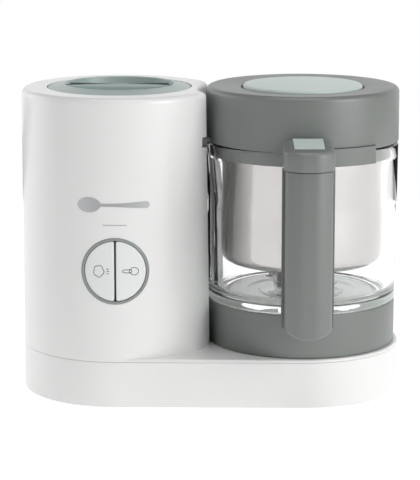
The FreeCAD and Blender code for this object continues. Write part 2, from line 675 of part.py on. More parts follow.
def handle_grip():
    """Front half of the handle: a bulging section with a rounded bottom end."""
    section = prism(grip_plan(GRIP_HALF, GRIP_SPLIT, GRIP_FRONT, 7.5, 0, 6.0), GRIP_Z0 - 1, GRIP_Z1)
    body = section.common(front_outline(GRIP_HALF + 1, GRIP_Z0, GRIP_Z1, 8.5, 90, 140))
    bottom = [e for e in body.Edges if e.BoundBox.ZMax < GRIP_Z0 + 9.5 and e.BoundBox.YMax < -GRIP_SPLIT - 0.5
              and e.BoundBox.ZLength < 9]
    body = body.makeFillet(2.0, bottom)
    for z in SCREW_HEIGHTS:
        body = body.cut(rod_back(JUG_X, -(GRIP_SPLIT + 9), -GRIP_SPLIT + 1, z, 1.55))
    return on_handle(body)


def handle_liner():
    """Back half of the handle, with the lower arm that is keyed into the collar."""
    z0 = GRIP_Z0 + 5.0
    section = prism(grip_plan(LINER_HALF, GRIP_BACK, GRIP_SPLIT - 0.2, 2.5, 3.5, 1.2), z0, GRIP_Z1)
    arm = block(JUG_X - 14, JUG_X + 14, -(GRIP_BACK + 2), -(COLLAR_R - 1), z0 + 0.5, COLLAR_Z1 - 0.8)
    arm = joined(arm, prism([(JUG_X - 14, -(GRIP_BACK + 2)), (JUG_X + 14, -(GRIP_BACK + 2)),
                             (JUG_X + 14, -90), (JUG_X - 14, -90)], COLLAR_Z1 - 2, 86.0))
    arm = arm.cut(rod(JUG_X, 0, 50, 90, COLLAR_R))
    head = block(JUG_X - 14, JUG_X + 14, -(GRIP_BACK + 2), -83.2, 193.0, GRIP_Z1)
    head = head.cut(rod(JUG_X, 0, 180, 220, CLAMP_R1 + 0.1))
    body = joined(section, arm, head)
    for z in SCREW_HEIGHTS:
        body = body.cut(rod_back(JUG_X, -(GRIP_SPLIT + 1), -GRIP_BACK + 1, z, 1.6))
        body = body.cut(rod_back(JUG_X, -GRIP_BACK - 2.5, -GRIP_BACK + 1, z, 3.3))
    return on_handle(body)


SCREW_HEIGHTS = (100.0, 178.0)


def handle_screws():
    """Two screws from the finger side that hold the halves of the handle together."""
    screws = []
    for z in SCREW_HEIGHTS:
        head = rod_back(JUG_X, -GRIP_BACK - 2.4, -GRIP_BACK - 0.4, z, 3.1)
        screws.append(joined(head, rod_back(JUG_X, -(GRIP_SPLIT + 8), -GRIP_BACK - 1, z, 1.5)))
    return on_handle(Part.Compound(screws))


def handle_cap():
    """Cap over the top of the handle, sloping down to the front, with a window for the release button."""
    plan = grip_plan(CAP_HALF, CAP_BACK - 4, CAP_FRONT, 9.0, 0, 7.0)
    body = prism(plan, CAP_Z0, CAP_BACK_Z + 5)
    body = body.cut(slope_cut(0.0))
    top = [e for e in body.Edges if e.BoundBox.ZMin > CAP_Z0 + 12 and e.BoundBox.YMax < -CAP_BACK + 3
           and e.BoundBox.YMin < -CAP_BACK - 5]
    top += [e for e in body.Edges if e.BoundBox.ZMin > CAP_Z0 + 12 and e.BoundBox.XLength > 10
            and e.BoundBox.YMax < -CAP_FRONT + 12 and e not in top]
    body = body.makeFillet(4.5, top)
    body = body.cut(rod(JUG_X, 0, 190, 240, CAP_BACK))
    well = block(JUG_X - KEY_HALF - 0.3, JUG_X + KEY_HALF + 0.3, -KEY_FRONT - 0.3, -KEY_BACK + 0.3, KEY_FLOOR_Z, 240)
    return on_handle(body.cut(well))


def slope_cut(drop):
    """Everything above the cap's sloping top, moved down by drop."""
    z_back = CAP_BACK_Z - drop
    z_front = CAP_FRONT_Z - drop
    wire = Part.makePolygon([
        V(0, -CAP_BACK + 10, z_back + (CAP_BACK_Z - CAP_FRONT_Z) * 10 / (CAP_FRONT - CAP_BACK)),
        V(0, -CAP_FRONT - 2, z_front - (CAP_BACK_Z - CAP_FRONT_Z) * 2 / (CAP_FRONT - CAP_BACK)),
        V(0, -CAP_FRONT - 2, 260), V(0, -CAP_BACK + 10, 260),
        V(0, -CAP_BACK + 10, z_back + (CAP_BACK_Z - CAP_FRONT_Z) * 10 / (CAP_FRONT - CAP_BACK))])
    return Part.Face(wire).extrude(V(200, 0, 0))


def release_button():
    """Sloping thumb plate in the cap."""
    plate = block(JUG_X - KEY_HALF, JUG_X + KEY_HALF, -KEY_FRONT, -KEY_BACK, 214.0, 240)
    return on_handle(plate.cut(slope_cut(-0.25)))


def release_spring():
    """Bent leaf of spring steel under the thumb plate: a strip folded back on itself."""
    z0, z1, t, tip, fold = KEY_FLOOR_Z, 213.9, 0.6, -110.0, -92.0
    outline = [(tip, z0), (fold, z0, 3), (fold, z1, 3), (tip, z1), (tip, z1 - t), (fold - t, z1 - t, 3 - t),
               (fold - t, z0 + t, 3 - t), (tip, z0 + t)]
    face = Part.Face(rounded_wire(outline, lambda p: V(JUG_X - 4, p.x, p.y)))
    return on_handle(face.extrude(V(8, 0, 0)))


def rim_clamp():
    """Curved plate that hooks the handle's head round the glass's rim, long on the right."""
    band = tube(JUG_X, 0, CLAMP_Z0, CLAMP_Z1, CLAMP_R1, CLAMP_R0)
    return on_handle(band.common(wedge(270 + CLAMP_FROM, 270 + CLAMP_TO, 190, 220)))


# ---- basket --------------------------------------------------------------------------------------
def basket():
    """Drawn steel basket with a rolled lip and a perforated floor."""
    r, t = BASKET_R, BASKET_WALL
    cup = turned(JUG_X, [
        (0, BASKET_Z0), (r, BASKET_Z0, 11), (r, BASKET_Z1 - 3), (r + 2.4, BASKET_Z1 - 3), (r + 2.4, BASKET_Z1 - 2),
        (r - t, BASKET_Z1 - 2), (r - t, BASKET_Z0 + t, 10.2), (0, BASKET_Z0 + t)])
    holes = []
    for ring, count in enumerate((1, 6, 12, 18, 24)):
        for i in range(count):
            angle = math.radians(i * 360.0 / count)
            holes.append(rod(JUG_X + ring * 11 * math.cos(angle), ring * 11 * math.sin(angle),
                             BASKET_Z0 - 2, BASKET_Z0 + 4, 1.8))
    return cup.cut(Part.Compound(holes))


def basket_rim():
    """Moulded ring round the basket's lip that rests in the glass."""
    r = BASKET_R
    return turned(JUG_X, [
        (r + 0.1, 198.4), (74.4, 198.4, 0.8), (74.7, 209.0, 0.8), (r + 2.6, 209.0), (r + 2.6, BASKET_Z1 - 3.1),
        (r + 0.1, BASKET_Z1 - 3.1)])


# ---- lid -----------------------------------------------------------------------------------------
def lid_shell():
    """Deep round lid with a seat for the feed cap, a tab over the jug's spout and a notch over the clamp."""
    r, t = LID_R, WALL
    shell = turned(JUG_X, [
        (r - t, LID_Z0), (r, LID_Z0, 0.8), (r, LID_Z1, LID_EDGE), (74.0, LID_Z1, 6), (CAP_SEAT_R + 1, CAP_SEAT_Z, 0.8),
        (CAP_SEAT_R, CAP_SEAT_Z - 3.2), (30.0, CAP_SEAT_Z - 3.2), (30.0, CAP_SEAT_Z - 5.8), (70.0, CAP_SEAT_Z - 5.8),
        (r - t, LID_Z1 - 6.5)])
    notch = tube(JUG_X, 0, LID_Z0 - 1, CLAMP_Z1 + 0.5, r + 2, 70)
    notch = on_handle(notch.common(wedge(270 + CLAMP_FROM - 1.0, 270 + CLAMP_TO + 1.0, 190, 230)))
    steam_hole = rod_right(JUG_X - 90, JUG_X - 60, 0, NOZZLE_Z, 4.0)
    tab = tube(JUG_X, 0, LID_Z0, TAB_Z1, SPOUT_R, r - 1)
    tab = on_handle(tab.common(wedge(180.0 - SPOUT_HALF, 180.0 + SPOUT_HALF, 190, 220)))
    return joined(shell, tab).cut(notch).cut(steam_hole)


def lid_liner():
    """Inner plate that closes the lid's underside, with a skirt that drops inside the basket's rim."""
    liner = turned(JUG_X, [
        (0, 214.5), (71.0, 214.5), (71.0, 210.2), (69.9, 209.4), (69.9, 207.2), (66.0, 207.2), (66.0, 212.0),
        (0, 212.0)])
    rim = turned(JUG_X, [(70.5, 212.4), (77.3, 212.4), (77.3, 215.0), (70.5, 215.0)])
    liner = joined(liner, rim)
    holes = around(rod(JUG_X + 48, 0, 200, 220, 3.0), JUG_X, 10)
    return liner.cut(Part.Compound(holes))


def lid_seal():
    return turned(JUG_X, [(71.2, 209.3, 0.9), (74.6, 209.3, 0.9), (74.6, 212.2, 0.9), (71.2, 212.2, 0.9)])


def feed_cap():
    """Soft disc that closes the feed hole in the lid's top, proud of it, with a plug below."""
    r, z1 = FEED_CAP_R, FEED_CAP_Z1
    return turned(JUG_X, [
        (0, z1 + 0.3), (r, z1 - 0.5, 2.8), (r, CAP_SEAT_Z - 2.9, 0.8), (29.5, CAP_SEAT_Z - 2.9), (29.5, 243.0, 1.5),
        (26.5, 243.0, 1), (26.5, 252.0), (0, 252.0)])


# ---- write the pieces ----------------------------------------------------------------------------
PIECES = {
    "base_shell": base_shell,
    "bottom_plate": bottom_plate,
    "rubber_feet": rubber_feet,
    "base_screws": base_screws,
    "upper_housing": upper_housing,
    "interlock_feeler": interlock_feeler,
    "interlock_switch": interlock_switch,
    "button_bezel": button_bezel,
    "steam_button": lambda: half_button(-1),
    "blend_button": lambda: half_button(1),
    "control_board": control_board,
    "tact_switches": tact_switches,
    "boiler_tank": boiler_tank,
    "tank_gasket": tank_gasket,
    "tank_collar": tank_collar,
    "heater_plate": heater_plate,
    "heating_element": heating_element,
    "thermostat": thermostat,
    "thermal_fuse": thermal_fuse,
    "steam_duct": steam_duct,
    "steam_port": steam_port,
    "tank_cap": tank_cap,
    "cap_plug": cap_plug,
    "cap_seal": cap_seal,
    "motor_can": motor_can,
    "motor_bracket": motor_bracket,
    "motor_shaft": motor_shaft,
    "motor_pulley": motor_pulley,
    "driven_pulley": driven_pulley,
    "drive_belt": drive_belt,
    "drive_housing": drive_housing,
    "drive_bearings": drive_bearings,
    "drive_shaft": drive_shaft,
    "drive_clutch": drive_clutch,
    "cord_grommet": cord_grommet,
    "jug_glass": jug_glass,
    "jug_collar": jug_collar,
    "blade_gasket": blade_gasket,
    "blade_nut": blade_nut,
    "blade_bush": blade_bush,
    "blade_shaft": blade_shaft,
    "blade_clutch": blade_clutch,
    "blade_hub": blade_hub,
    "blades": blades,
    "handle_grip": handle_grip,
    "handle_liner": handle_liner,
    "handle_screws": handle_screws,
    "handle_cap": handle_cap,
    "release_button": release_button,
    "release_spring": release_spring,
    "rim_clamp": rim_clamp,
    "basket": basket,
    "basket_rim": basket_rim,
    "lid_shell": lid_shell,
    "lid_liner": lid_liner,
    "lid_seal": lid_seal,
    "feed_cap": feed_cap,
}

os.makedirs("parts", exist_ok=True)
for name, make in PIECES.items():
    shape = make()
    solids = shape.Solids
    good = all(s.isValid() and s.Volume > 0 for s in solids)
    print(f"{name:18s} solids {len(solids)}  valid {good}  volume {sum(s.Volume for s in solids) / 1000:9.2f} cm3")
    shape.exportStep(f"parts/{name}.step")
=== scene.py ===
# %% [markdown]
# # A baby food maker in porcelain-white ABS, grey polypropylene, glass and steel
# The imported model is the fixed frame. It gives every piece its place, in metres, and its node objects
# already sit at the origin. The pieces that show get finer surfaces here, worked out with numpy from a
# few of the frame's own measurements. Pieces that are right as they are keep their mesh and get a
# material.

# %% Load the frame
import math

import bmesh
import bpy
import numpy as np
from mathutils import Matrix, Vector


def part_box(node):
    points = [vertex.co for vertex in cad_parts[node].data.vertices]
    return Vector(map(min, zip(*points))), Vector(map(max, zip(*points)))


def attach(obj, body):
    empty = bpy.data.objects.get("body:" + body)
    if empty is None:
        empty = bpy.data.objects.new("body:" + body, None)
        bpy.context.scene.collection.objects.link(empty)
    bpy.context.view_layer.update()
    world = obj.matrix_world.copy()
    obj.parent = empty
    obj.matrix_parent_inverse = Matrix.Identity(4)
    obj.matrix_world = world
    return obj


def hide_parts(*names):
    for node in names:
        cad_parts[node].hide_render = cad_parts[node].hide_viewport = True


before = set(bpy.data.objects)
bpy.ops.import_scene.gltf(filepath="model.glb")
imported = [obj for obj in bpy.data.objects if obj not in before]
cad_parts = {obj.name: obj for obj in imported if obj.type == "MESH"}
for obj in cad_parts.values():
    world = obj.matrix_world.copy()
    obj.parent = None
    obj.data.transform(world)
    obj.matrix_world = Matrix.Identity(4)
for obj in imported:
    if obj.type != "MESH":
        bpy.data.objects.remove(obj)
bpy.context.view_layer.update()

# %% [markdown]
# ## Measurements
# A box from the frame gives a round piece's radius and its two heights. Everything below is in
# millimetres until a mesh is written, because wall thicknesses and edge radii read best that way.


# %% Read the main sizes
def size(node):
    """A node's lowest and highest corners in millimetres."""
    low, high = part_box(node)
    return np.array(low) * 1000, np.array(high) * 1000


base_low, base_high = size("base_shell")
glass_high = size("jug_glass")[1]
lid_low, lid_high = size("lid_shell")
END_R = (base_high[1] - base_low[1]) / 2            # the oval's round ends
AXIS = (base_high[0] - base_low[0]) / 2 - END_R     # column axis at -AXIS, jug axis at +AXIS
COLUMN, JUG = -AXIS, AXIS
SEAM_Z = base_high[2]
TOP_Z = size("upper_housing")[1][2]
SHAFT_R = 4.0
print(f"round ends {END_R:.1f} mm, axes at +-{AXIS:.1f} mm, seam {SEAM_Z:.1f} mm, column top {TOP_Z:.1f} mm")

# %% [markdown]
# ## Two ways to make a surface
# `surface` turns a grid of points into a closed mesh: rows run along one parameter and columns along the
# other. `rounded` turns a few corners into a smooth profile, where each corner with a radius becomes a
# true arc. Most of the machine is turned, so `turn` carries such a profile round an axis.


# %% Grid of points to mesh
def surface(name, grid, closed_rows=False, creases=35.0):
    """Mesh from grid[row, column] in mm. A quad joins two rows and two columns, and the columns close."""
    rows, columns = grid.shape[:2]
    index = np.arange(rows * columns).reshape(rows, columns)
    if closed_rows:
        index = np.vstack([index, index[:1]])
    right = np.roll(index, -1, axis=1)
    quads = np.stack([index[:-1], right[:-1], right[1:], index[1:]], axis=-1).reshape(-1, 4)
    across = np.linspace(0, 1, columns, endpoint=False)
    along = np.linspace(0, 1, index.shape[0])
    u = np.broadcast_to(across, (index.shape[0] - 1, columns))
    v0 = np.broadcast_to(along[:-1, None], u.shape)
    v1 = np.broadcast_to(along[1:, None], u.shape)
    step = 1 / columns
    uv = np.stack([u, v0, u + step, v0, u + step, v1, u, v1], axis=-1)
    mesh = bpy.data.meshes.new(name)
    mesh.from_pydata((grid.reshape(-1, 3) / 1000).tolist(), [], quads.tolist())
    layer = mesh.uv_layers.new(name="around")
    layer.data.foreach_set("uv", uv.reshape(-1).astype(np.float32))
    return finish_mesh(name, mesh, creases)


def finish_mesh(name, mesh, creases):
    """Welds doubled points, turns the faces outwards, smooths all but sharp edges, and makes the object."""
    work = bmesh.new()
    work.from_mesh(mesh)
    bmesh.ops.remove_doubles(work, verts=work.verts, dist=1e-6)
    bmesh.ops.dissolve_degenerate(work, edges=work.edges, dist=1e-7)
    bmesh.ops.recalc_face_normals(work, faces=work.faces)
    if work.calc_volume(signed=True) < 0:
        bmesh.ops.reverse_faces(work, faces=work.faces)
    work.to_mesh(mesh)
    work.free()
    mesh.shade_smooth()
    mesh.set_sharp_from_angle(angle=math.radians(creases))
    piece = bpy.data.objects.new(name, mesh)
    bpy.context.scene.collection.objects.link(piece)
    return piece


# %% Cut one closed piece out of another
def carve(piece, cutter, creases=35.0):
    """Takes the cutter out of the piece for good, deletes it, and welds points closer than 2 microns."""
    cut = piece.modifiers.new("cut", "BOOLEAN")
    cut.operation, cut.object, cut.solver, cut.use_self = "DIFFERENCE", cutter, "EXACT", True
    result = bpy.data.meshes.new_from_object(piece.evaluated_get(bpy.context.evaluated_depsgraph_get()))
    piece.modifiers.clear()
    bpy.data.objects.remove(cutter)
    work = bmesh.new()
    work.from_mesh(result)
    bmesh.ops.triangulate(work, faces=work.faces)
    bmesh.ops.remove_doubles(work, verts=work.verts, dist=2e-6)
    bmesh.ops.dissolve_degenerate(work, edges=work.edges, dist=2e-6)
    print(piece.name, "open edges after the cut:", sum(not e.is_manifold for e in work.edges))
    work.to_mesh(result)
    work.free()
    piece.data = result
    result.set_sharp_from_angle(angle=math.radians(creases))


# %% Corners to a smooth profile
def rounded(corners, steps=7):
    """Open polyline through (a, b) corners. A third number is the radius of the corner's arc."""
    line = []
    for i, corner in enumerate(corners):
        here = np.array(corner[:2], float)
        if len(corner) < 3 or i in (0, len(corners) - 1):
            line.append(here[None])
            continue
        before, after = np.array(corners[i - 1][:2], float), np.array(corners[i + 1][:2], float)
        u = (before - here) / np.linalg.norm(before - here)
        v = (after - here) / np.linalg.norm(after - here)
        half = math.acos(np.clip(u @ v, -1, 1)) / 2
        centre = here + (u + v) / np.linalg.norm(u + v) * corner[2] / math.sin(half)
        start, end = here + u * corner[2] / math.tan(half), here + v * corner[2] / math.tan(half)
        swing = np.linspace(0, 1, steps)[:, None] * (math.pi - 2 * half)
        p, q = start - centre, end - centre
        line.append(centre + (np.sin(math.pi - 2 * half - swing) * p + np.sin(swing) * q)
                    / math.sin(math.pi - 2 * half))
    return np.vstack(line)


def turn(name, x, corners, segments=192, shift=None, creases=35.0, steps=7, angles=None):
    """Turned about the upright axis at x: (r, z) goes to (x + r cos t, r sin t, z). shift may bend it."""
    profile = rounded(corners, steps)
    t = np.linspace(0, 2 * math.pi, segments, endpoint=False) if angles is None else angles
    r = np.broadcast_to(profile[:, :1], (len(profile), len(t))).copy()
    z = np.broadcast_to(profile[:, 1:], r.shape).copy()
    if shift is not None:
        r, z = shift(r, z, t)
    grid = np.stack([x + r * np.cos(t), r * np.sin(t), z], axis=-1)
    closed = np.allclose(profile[0], profile[-1])
    return surface(name, grid[:-1] if closed else grid, closed_rows=closed, creases=creases)


# %% [markdown]
# ## Colours and nodes
# Colours are written as sRGB hex values, as a paint chart gives them, and turned to linear once. One
# small function adds a node with its settings and links.


# %% Colour and node helpers
def linear(hex_code):
    """sRGB to linear: c / 12.92 below 0.04045, else ((c + 0.055) / 1.055) ** 2.4."""
    c = np.array([int(hex_code[i:i + 2], 16) for i in (1, 3, 5)]) / 255
    return (*np.where(c <= 0.04045, c / 12.92, ((c + 0.055) / 1.055) ** 2.4).tolist(), 1.0)


def add(tree, kind, inputs=None, **settings):
    """Adds one node. settings are its own properties, and inputs are values or the sockets that feed it."""
    node = tree.nodes.new(kind)
    for name, value in settings.items():
        setattr(node, name, value)
    for name, value in (inputs or {}).items():
        if isinstance(value, bpy.types.NodeSocket):
            tree.links.new(value, node.inputs[name])
        else:
            node.inputs[name].default_value = value
    return node


def start(name):
    """A new material's tree with its Principled shader and Object coordinates."""
    material = bpy.data.materials.new(name)
    material.use_nodes = True
    tree = material.node_tree
    return material, tree, tree.nodes["Principled BSDF"], add(tree, "ShaderNodeTexCoord").outputs["Object"]


def tinted(tree, factor, dark, light):
    """Colour between two hex values, by a 0 to 1 factor."""
    mix = add(tree, "ShaderNodeMix", {"Factor": factor}, data_type="RGBA")
    mix.inputs[6].default_value, mix.inputs[7].default_value = linear(dark), linear(light)
    return mix.outputs[2]


# %% [markdown]
# ## Moulded plastics
# ABS and polypropylene come out of a steel mould. The mould's finish gives the surface its grain, and the
# cooling plastic draws in a little, which gives a slow waviness in the reflections. Both are bump here:
# grain at its real spacing of about 0.3 to 0.6 mm, drawn a little coarser so that it shows, and waves
# about 30 mm long. Hands leave slightly glossier patches, so the roughness also drifts.


# %% Plastic material
def plastic(name, dark, light, rough, grain_mm=0.5, grain=0.02, wave=0.05, coat=0.0, ior=1.5, milky=0.0):
    """Injection-moulded plastic: drifting tint and roughness, fine mould grain and slow sink waves."""
    material, tree, shader, place = start(name)
    drift = add(tree, "ShaderNodeTexNoise", {"Vector": place, "Scale": 1000 / 45, "Detail": 3.0,
                                             "Roughness": 0.55})
    fine = add(tree, "ShaderNodeTexNoise", {"Vector": place, "Scale": 1000 / grain_mm, "Detail": 2.0})
    slow = add(tree, "ShaderNodeTexNoise", {"Vector": place, "Scale": 1000 / 30, "Detail": 1.0})
    tree.links.new(tinted(tree, drift.outputs[0], dark, light), shader.inputs["Base Color"])
    gloss = add(tree, "ShaderNodeMapRange", {"Value": drift.outputs[0], "From Min": 0.3, "From Max": 0.7,
                                             "To Min": rough * 0.9, "To Max": rough * 1.12})
    tree.links.new(gloss.outputs[0], shader.inputs["Roughness"])
    waves = add(tree, "ShaderNodeBump", {"Height": slow.outputs[0], "Strength": wave, "Distance": 0.0006})
    bump = add(tree, "ShaderNodeBump", {"Height": fine.outputs[0], "Strength": grain * 10,
                                        "Distance": 0.00003, "Normal": waves.outputs[0]})
    tree.links.new(bump.outputs[0], shader.inputs["Normal"])
    shader.inputs["IOR"].default_value = ior
    shader.inputs["Coat Weight"].default_value = coat
    shader.inputs["Coat Roughness"].default_value = 0.12
    shader.inputs["Subsurface Weight"].default_value = milky
    shader.inputs["Subsurface Scale"].default_value = 0.002
    return material


# White ABS with a polished mould: bright, slightly warm and clearly glossy.
white_abs = plastic("porcelain_white_abs", "#E4E4E3", "#E8E8E7", 0.32, 0.6, 0.006, 0.03, coat=0.2)
# Polypropylene from a spark-eroded mould: an even grey with a soft sheen.
grey_pp = plastic("satin_grey_polypropylene", "#737774", "#787C79", 0.4, 0.45, 0.02, 0.02, ior=1.6)
# The same plastic, darker as painted shade, for the grip's inner half.
painted_shade_pp = plastic("painted_shade_grey_polypropylene", "#626663", "#686C69", 0.44, 0.45, 0.03, 0.03)
# The tank cap's grey-green polypropylene.
sage_pp = plastic("sage_grey_polypropylene", "#A0B0AD", "#A8B6B3", 0.34, 0.45, 0.025, 0.03)
# Mint TPE, a rubbery plastic: soft, milky and almost without a highlight.
mint_tpe = plastic("mint_thermoplastic_rubber", "#C6D3CF", "#CDD8D4", 0.45, 0.5, 0.03, 0.02, milky=0.08)
# Pale silicone for the jug's bond line. Its paleness is painted light for the bright glass floor.
bond_silicone_with_painted_light = plastic("pale_silicone_with_painted_light", "#D3D6D4", "#DCDEDC", 0.5, 0.8, 0.02, 0.02)
pale_abs = plastic("pale_grey_abs", "#DFE2E0", "#E6E8E6", 0.32, 0.5, 0.008, 0.03, coat=0.2)
ring_abs = plastic("ring_grey_abs", "#878C89", "#909592", 0.28, 0.5, 0.01, 0.03, coat=0.3)
black_nylon = plastic("black_glass_filled_nylon", "#1B1C1D", "#232425", 0.45, 0.7, 0.05, 0.03)
white_acetal = plastic("natural_acetal", "#DEDCD4", "#E6E4DC", 0.35, 0.5, 0.02, 0.03, milky=0.1)
clear_silicone = plastic("translucent_silicone", "#D5D8D4", "#DDE0DC", 0.42, 0.8, 0.03, 0.05, milky=0.3)
grey_silicone = plastic("grey_silicone", "#6E7370", "#767B78", 0.5, 0.8, 0.04, 0.05, milky=0.05)
black_rubber = plastic("black_nitrile_rubber", "#161616", "#202020", 0.62, 0.9, 0.08, 0.06)
print("plastics:", len(bpy.data.materials))

# %% [markdown]
# ## Metals
# A spun or drawn steel cup is brushed while it turns, so its scratches run round it. They spread each
# reflection up and down, into the upright light and dark bands that a steel pot shows. The shader does
# this with anisotropy turned a quarter from the UV map's first axis, which follows the scratches. Faint
# bump, stretched 125 times round the axis, draws the single scratches. Real ones are about 0.05 mm wide,
# and these are 0.9 mm so that they show.


# %% Metal materials
def metal(name, dark, light, rough, scratch_mm=0.4, scratch=0.04, aniso=0.0, stretch=(1, 1, 1)):
    """Bare metal: tint drifts a little, and stretched noise makes its scratches."""
    material, tree, shader, place = start(name)
    shader.inputs["Metallic"].default_value = 1.0
    turned_place = add(tree, "ShaderNodeMapping", {"Vector": place, "Scale": stretch})
    lines = add(tree, "ShaderNodeTexNoise", {"Vector": turned_place.outputs[0], "Scale": 1000 / scratch_mm,
                                             "Detail": 3.0})
    drift = add(tree, "ShaderNodeTexNoise", {"Vector": place, "Scale": 1000 / 25, "Detail": 2.0})
    tree.links.new(tinted(tree, drift.outputs[0], dark, light), shader.inputs["Base Color"])
    gloss = add(tree, "ShaderNodeMapRange", {"Value": lines.outputs[0], "From Min": 0.3, "From Max": 0.7,
                                             "To Min": rough * 0.9, "To Max": rough * 1.1})
    tree.links.new(gloss.outputs[0], shader.inputs["Roughness"])
    bump = add(tree, "ShaderNodeBump", {"Height": lines.outputs[0], "Strength": scratch,
                                        "Distance": 0.00002})
    tree.links.new(bump.outputs[0], shader.inputs["Normal"])
    if aniso:
        shader.inputs["Anisotropic"].default_value = aniso
        shader.inputs["Anisotropic Rotation"].default_value = 0.25
        along = add(tree, "ShaderNodeTangent", direction_type="UV_MAP", uv_map="around")
        tree.links.new(along.outputs[0], shader.inputs["Tangent"])
    return material


brushed_steel = metal("brushed_stainless_steel", "#C9C5C5", "#D2CFCE", 0.17, 0.9, 0.012, 0.55,
                      (0.008, 0.008, 1))
drawn_steel = metal("drawn_stainless_steel", "#BDBDBB", "#C8C8C6", 0.3, 0.9, 0.1, 0.0, (0.02, 0.02, 1))
ground_steel = metal("ground_tool_steel", "#A5A6A7", "#B2B3B4", 0.22, 0.3, 0.04, 0.0, (0.1, 0.1, 1))
blade_steel = metal("polished_blade_steel", "#C4C5C6", "#D4D5D5", 0.14, 0.3, 0.03)
zinc = metal("zinc_plated_steel", "#A9ACAD", "#BABDBE", 0.38, 2.5, 0.05)
cast_aluminium = metal("die_cast_aluminium", "#B4B5B5", "#C2C3C3", 0.42, 1.5, 0.08)
sintered_bronze = metal("sintered_bronze", "#8F6B3C", "#A98552", 0.5, 0.8, 0.1)
silver_print = metal("hot_stamped_silver_foil", "#AFB0B1", "#BDBEBF", 0.3, 0.8, 0.02)

# %% [markdown]
# ## Glass
# The jug is pressed borosilicate with walls about 4 mm thick. Both faces of the wall are modelled, so
# light bends as it does in the real one: clear in the middle, with dark and bright lines at the sides and
# in the heavy foot. A ray tracer gives glass a full shadow, because it can't find lamps through a bent
# path. So shadow rays see a clear filter, and the basket behind the glass is lit as it should be.


# %% Glass material
def pressed_glass():
    """Clear glass that bends light, slightly wavy from the press, with a clear filter for shadow rays."""
    material, tree, shader, place = start("pressed_borosilicate_glass")
    shader.inputs["Base Color"].default_value = linear("#FEFEFE")
    shader.inputs["Transmission Weight"].default_value = 1.0
    shader.inputs["Roughness"].default_value = 0.0
    shader.inputs["IOR"].default_value = 1.47
    slow = add(tree, "ShaderNodeTexNoise", {"Vector": place, "Scale": 1000 / 22, "Detail": 1.0})
    bump = add(tree, "ShaderNodeBump", {"Height": slow.outputs[0], "Strength": 0.08, "Distance": 0.0006})
    tree.links.new(bump.outputs[0], shader.inputs["Normal"])
    path = add(tree, "ShaderNodeLightPath")
    clear = add(tree, "ShaderNodeBsdfTransparent", {"Color": linear("#F2F6F4")})
    mix = add(tree, "ShaderNodeMixShader", {0: path.outputs["Is Shadow Ray"], 1: shader.outputs[0],
                                            2: clear.outputs[0]})
    tree.links.new(mix.outputs[0], tree.nodes["Material Output"].inputs["Surface"])
    return material


glass = pressed_glass()

# %% Circuit board material
board, tree, shader, place = start("green_circuit_board")
tracks = add(tree, "ShaderNodeTexBrick", {"Vector": place, "Scale": 1000 / 9, "Mortar Size": 0.03,
                                          "Color1": linear("#1F5A38"), "Color2": linear("#24633F"),
                                          "Mortar": linear("#3F8A5A")})
tree.links.new(tracks.outputs[0], shader.inputs["Base Color"])
shader.inputs["Roughness"].default_value = 0.35
print("materials:", len(bpy.data.materials))

# %% [markdown]
# ## The CAD pieces that keep their mesh
# Inner and hidden pieces already have the right shape. Each gets the finish of its real counterpart, but the
# liners and the feeler get the grey plastic with painted shade.

# %% Give the kept nodes their materials
FINISH = {
    white_abs: ["bottom_plate", "drive_housing", "base_shell", "upper_housing"],
    grey_pp: ["jug_collar", "handle_grip", "handle_cap", "basket_rim", "lid_shell", "rim_clamp"],
    # The grey plastic darkened as painted shade.
    painted_shade_pp: ["handle_liner", "lid_liner", "interlock_feeler"],
    sage_pp: ["tank_cap", "cap_plug", "tank_collar"],
    mint_tpe: ["feed_cap", "release_button"],
    pale_abs: ["steam_button", "blend_button"],
    ring_abs: ["button_bezel"],
    black_nylon: ["drive_clutch", "blade_clutch", "blade_nut", "blade_hub", "thermostat", "interlock_switch",
                  "tact_switches"],
    white_acetal: ["motor_pulley", "driven_pulley"],
    clear_silicone: ["cap_seal", "lid_seal", "tank_gasket", "blade_gasket", "steam_duct"],
    grey_silicone: ["steam_port"],
    black_rubber: ["rubber_feet", "drive_belt", "cord_grommet"],
    drawn_steel: ["boiler_tank", "heating_element", "basket"],
    ground_steel: ["drive_shaft", "motor_shaft", "blade_shaft", "drive_bearings", "release_spring"],
    blade_steel: ["blades"],
    zinc: ["base_screws", "motor_can", "motor_bracket", "thermal_fuse", "handle_screws"],
    cast_aluminium: ["heater_plate"],
    sintered_bronze: ["blade_bush"],
    glass: ["jug_glass"],
    board: ["control_board"],
}


def coat(piece, material):
    """Puts one material on the whole of a piece."""
    piece.data.materials.clear()
    piece.data.materials.append(material)


for material, names in FINISH.items():
    for name in names:
        coat(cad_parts[name], material)
print("coated:", sum(len(names) for names in FINISH.values()), "of", len(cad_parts))

# %% [markdown]
# ## The jug
# Everything on the jug but its handle is turned about one axis. Each piece below is one profile, written
# as a maker would dimension it: radius, height and the radius of the corner. The glass has a spout on the
# column's side, so its profile swells there: r grows by 5.3 mm times a bell across 17 degrees, times a
# ramp up the last 14 mm of the wall.


# %% Glass jug with its spout
def ramp(x, low, high):
    """Smooth step: 0 below low, 1 above high, 3 s^2 - 2 s^3 between."""
    s = np.clip((x - low) / (high - low), 0, 1)
    return s * s * (3 - 2 * s)


RIM_Z = glass_high[2]
GLASS_R = 79.7
SPOUT_AT = math.radians(181.2)
TURN = math.radians(1.2)                             # the locked handle stands this far past straight ahead


def spout(r, z, t):
    """Pushes the rim outwards in front of the column."""
    bell = 1 - ramp(np.abs(t - SPOUT_AT), math.radians(10.5), math.radians(17.0))
    push = 5.3 * bell * ramp(z, RIM_Z - 13, RIM_Z - 2) * (r > 60)
    return r + push, z


